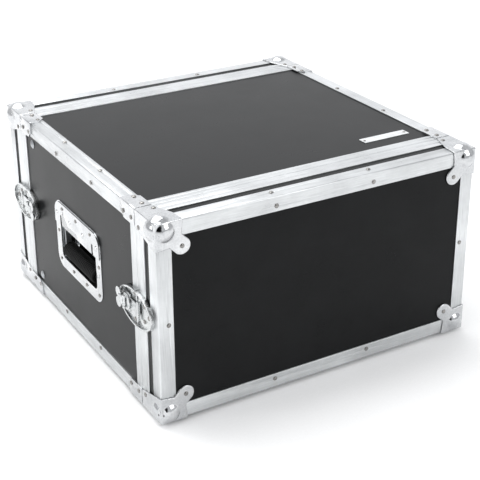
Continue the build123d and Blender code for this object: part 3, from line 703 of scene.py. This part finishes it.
@dataclass
class PressedCorners:
    """The four ball corners of a lid, drawn from one sheet each, so ball, folds and lobe flow together."""

    grid_mm: float = 0.85
    softening: int = 7
    eye_half_mm: tuple[float, float] = (2.6, 5.2)
    eye_depth_mm: float = 1.6
    eye_turn: tuple[float, float, float] = (0.56, 0.8, -0.2)
    eye_reach: tuple[float, float] = (0.7, 1.1)
    ball_inset_mm: float = 19.5
    ball_radius_mm: float = 20.0
    smooth_angle: float = 180.0

    def eyes(self, mesh: bpy.types.Mesh, low: Vector, high: Vector) -> None:
        """Presses two eye-shaped dimples into each ball, one on each side of the upright fold.

        Args:
            mesh: the corners' mesh.
            low: lowest corner of the lid's corners.
            high: highest corner of them.
        """
        inset, radius = self.ball_inset_mm * MM, self.ball_radius_mm * MM
        wide, tall = (size * MM for size in self.eye_half_mm)
        nearest, farthest = (share * radius for share in self.eye_reach)
        little, much, down = self.eye_turn
        outer_y = low.y if low.y + high.y < 0 else high.y
        sy = -1 if outer_y < 0 else 1
        for x, sx in ((low.x, -1), (high.x, 1)):
            for z, sz in ((low.z, -1), (high.z, 1)):
                centre = Vector((x - sx * inset, outer_y - sy * inset, z - sz * inset))
                for way in (Vector((little * sx, much * sy, down * sz)),
                            Vector((much * sx, little * sy, down * sz))):
                    way.normalize()
                    upright = Vector((0, 0, 1)) - way * way.z
                    upright.normalize()
                    across = way.cross(upright)
                    for vert in mesh.vertices:
                        gap = vert.co - centre
                        if gap.length > farthest or gap.dot(way) < nearest:
                            continue
                        reach = (gap.dot(across) / wide) ** 2 + (gap.dot(upright) / tall) ** 2
                        if reach < 1:
                            vert.co -= way * (self.eye_depth_mm * MM * (1 - reach))

    def build(self, end: End, finish: bpy.types.Material) -> None:
        """Makes the corners of one lid.

        Args:
            end: the end of the case that the lid closes.
            finish: their material.
        """
        node = f"{end.lid}_ball_corners"
        piece = link(f"{node}_pressed", merged_copy(node))
        skin = piece.modifiers.new("sheet", "REMESH")
        skin.mode = "VOXEL"
        skin.voxel_size = self.grid_mm * MM
        soft = piece.modifiers.new("drawn", "SMOOTH")
        soft.iterations = self.softening
        soft.factor = 0.5
        plain_mesh(piece, self.smooth_angle)
        self.eyes(piece.data, *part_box(node))
        piece.data.materials.clear()
        piece.data.materials.append(finish)
        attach(piece, end.lid)
        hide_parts(node)
        log.info("pressed corners, %s: %d faces", end.value, len(piece.data.polygons))


def upright_finish(piece: bpy.types.Object, finish: bpy.types.Material) -> None:
    """Gives a frame's two upright bars lines that run up them.

    Args:
        piece: a rectangular frame about the case's opening.
        finish: the material of its upright bars.
    """
    piece.data.materials.append(finish)
    xs = [v.co.x for v in piece.data.vertices]
    zs = [v.co.z for v in piece.data.vertices]
    half, low, high = max(xs), min(zs), max(zs)
    for face in piece.data.polygons:
        aside = half - abs(face.center.x)
        if aside < min(face.center.z - low, high - face.center.z):
            face.material_index = 1


@dataclass
class Lid:
    """One lift-off lid with its ball corners."""

    end: End
    softener: Softener = field(default_factory=lambda: Softener(0.4, 2))
    corners: PressedCorners = field(default_factory=PressedCorners)

    def build(self, finishes: dict[str, bpy.types.Material]) -> None:
        """Dresses the boards, softens the profiles and makes the corners.

        Args:
            finishes: the case's materials by short name.
        """
        body = self.end.lid
        dress(f"{body}_panel", finishes["laminate"])
        dress(f"{body}_side_boards", finishes["laminate"])
        for part in ("rim", "edging"):
            bars = self.softener.soften(f"{body}_{part}", body, Slot.PROFILE, finishes["alu_x"])
            upright_finish(bars, finishes["alu_z"])
        self.corners.build(self.end, finishes["chrome"])


@dataclass
class Studio:
    """Pale floor, soft lights and the camera."""

    eye: Vector = field(default_factory=lambda: Vector((-0.8196, -1.4452, 0.9097)))
    turn_deg: float = -30.09
    tilt_deg: float = 23.83
    roll_deg: float = -0.27
    lens_mm: float = 87.945
    sensor_mm: float = 36.0
    rise: float = -1 / 12
    floor_m: float = 24.0
    aim: Vector = field(default_factory=lambda: Vector((0, 0, 0.15)))
    pale: str = "#f4f5f7"
    black_cloth: str = "#0c0d0e"
    strength: float = 0.8

    def floor(self) -> None:
        """Lays a pale floor under the case."""
        half = self.floor_m / 2
        mesh = bpy.data.meshes.new("studio_floor")
        corners = [(-half, -half, 0), (half, -half, 0), (half, half, 0), (-half, half, 0)]
        mesh.from_pydata(corners, [], [(0, 1, 2, 3)])
        ground = link("studio_floor", mesh)
        mesh.materials.append(FLOOR_PAINT.build())

    def lamp(self, name: str, place: tuple[float, float, float], size: float, power: float) -> None:
        """Hangs an area light that looks at the case.

        Args:
            name: the light's name.
            place: where it hangs, in metres.
            size: its width in metres.
            power: watts.
        """
        light = bpy.data.lights.new(name, "AREA")
        light.size = size
        light.energy = power
        thing = bpy.data.objects.new(name, light)
        bpy.context.scene.collection.objects.link(thing)
        thing.location = place
        thing.rotation_euler = (self.aim - Vector(place)).to_track_quat("-Z", "Y").to_euler()

    def camera(self) -> None:
        """Sets up the camera: its place, its turn about Z, its tilt down and its roll."""
        turn, tilt, roll = (math.radians(a) for a in (self.turn_deg, self.tilt_deg, self.roll_deg))
        look = Vector((-math.sin(turn) * math.cos(tilt), math.cos(turn) * math.cos(tilt), -math.sin(tilt)))
        right = look.cross(Vector((0, 0, 1))).normalized()
        up = right.cross(look)
        right, up = (math.cos(roll) * right + math.sin(roll) * up,
                     math.cos(roll) * up - math.sin(roll) * right)
        lens = bpy.data.cameras.new("camera")
        lens.sensor_width = self.sensor_mm
        lens.lens = self.lens_mm
        lens.shift_y = self.rise
        thing = bpy.data.objects.new("camera", lens)
        bpy.context.scene.collection.objects.link(thing)
        facing = Matrix((right, up, -look)).transposed().to_4x4()
        thing.matrix_world = Matrix.Translation(self.eye) @ facing
        bpy.context.scene.camera = thing

    def sky(self) -> None:
        """Fills the studio with pale light, with a tall dark flag that only polished metal mirrors."""
        sky = bpy.data.worlds.new("studio")
        sky.use_nodes = True
        tree = sky.node_tree
        back = tree.nodes["Background"]
        way = put(tree, "ShaderNodeTexCoord").outputs["Generated"]
        turn = math.radians(self.turn_deg)
        aside = put(tree, "ShaderNodeVectorMath", {"operation": "DOT_PRODUCT"}, {
            0: way, 1: (math.cos(turn), math.sin(turn), 0)})
        ahead = put(tree, "ShaderNodeVectorMath", {"operation": "DOT_PRODUCT"}, {
            0: way, 1: (math.sin(turn), -math.cos(turn), 0)})
        narrow = put(tree, "ShaderNodeMath", {"operation": "ABSOLUTE"}, {0: aside.outputs["Value"]})
        edge = put(tree, "ShaderNodeMapRange", inputs={
            "Value": narrow.outputs[0], "From Min": 0.34, "From Max": 0.24})
        before = put(tree, "ShaderNodeMapRange", inputs={
            "Value": ahead.outputs["Value"], "From Min": 0.2, "From Max": 0.35})
        flag = put(tree, "ShaderNodeMath", {"operation": "MULTIPLY"}, {
            0: edge.outputs[0], 1: before.outputs[0]})
        glossy = put(tree, "ShaderNodeLightPath").outputs["Is Glossy Ray"]
        mirrored = put(tree, "ShaderNodeMath", {"operation": "MULTIPLY"}, {
            0: flag.outputs[0], 1: glossy})
        colour = put(tree, "ShaderNodeMix", {"data_type": "RGBA"}, {
            0: mirrored.outputs[0], 6: linear(self.pale), 7: linear(self.black_cloth)})
        behind = put(tree, "ShaderNodeMapRange", inputs={
            "Value": ahead.outputs["Value"], "From Min": -0.4, "From Max": -0.8,
            "To Min": 1.0, "To Max": 1.7})
        bright = put(tree, "ShaderNodeVectorMath", {"operation": "SCALE"}, {
            0: colour.outputs[2], "Scale": behind.outputs[0]})
        shown = put(tree, "ShaderNodeMix", {"data_type": "RGBA"}, {
            0: glossy, 6: linear(self.pale), 7: bright.outputs[0]})
        tree.links.new(shown.outputs[2], back.inputs["Color"])
        back.inputs["Strength"].default_value = self.strength
        bpy.context.scene.world = sky

    def build(self) -> None:
        """Builds the whole setting."""
        self.floor()
        self.camera()
        self.lamp("overhead_softbox", (-0.3, 0.9, 2.6), 2.2, 60)
        self.lamp("left_softbox", (-2.6, -0.2, 1.5), 1.6, 26)
        self.lamp("front_fill", (1.2, -2.6, 1.7), 1.6, 22)
        self.sky()
        bpy.context.scene.view_settings.view_transform = "Standard"


def main() -> None:
    """Builds the setting and every sub-assembly of the case."""
    logging.basicConfig(level=logging.INFO, format="%(name)s: %(message)s")
    finishes = {
        "laminate": LAMINATE.build(), "alu_x": ANODISED_X.build(), "alu_y": ANODISED_Y.build(),
        "alu_z": ANODISED_Z.build(), "chrome": CHROME.build(), "nickel": NICKEL.build(),
        "zinc": ZINC.build(), "rivet": RIVET.build(), "rubber": RUBBER.build(),
        "lacquer": LACQUER.build()}
    Studio().build()
    Body().build(finishes)
    for end in End:
        Lid(end).build(finishes)
    Latches().build(finishes)
    Handles().build(finishes)
    rivets = Rivets(finishes["rivet"])
    rivets.set_heads("body_rivets", "case_body")
    rivets.set_heads("handle_rivets", "case_body")
    for end in End:
        rivets.set_heads(f"{end.lid}_rivets", end.lid)


if __name__ == "__main__":
    main()
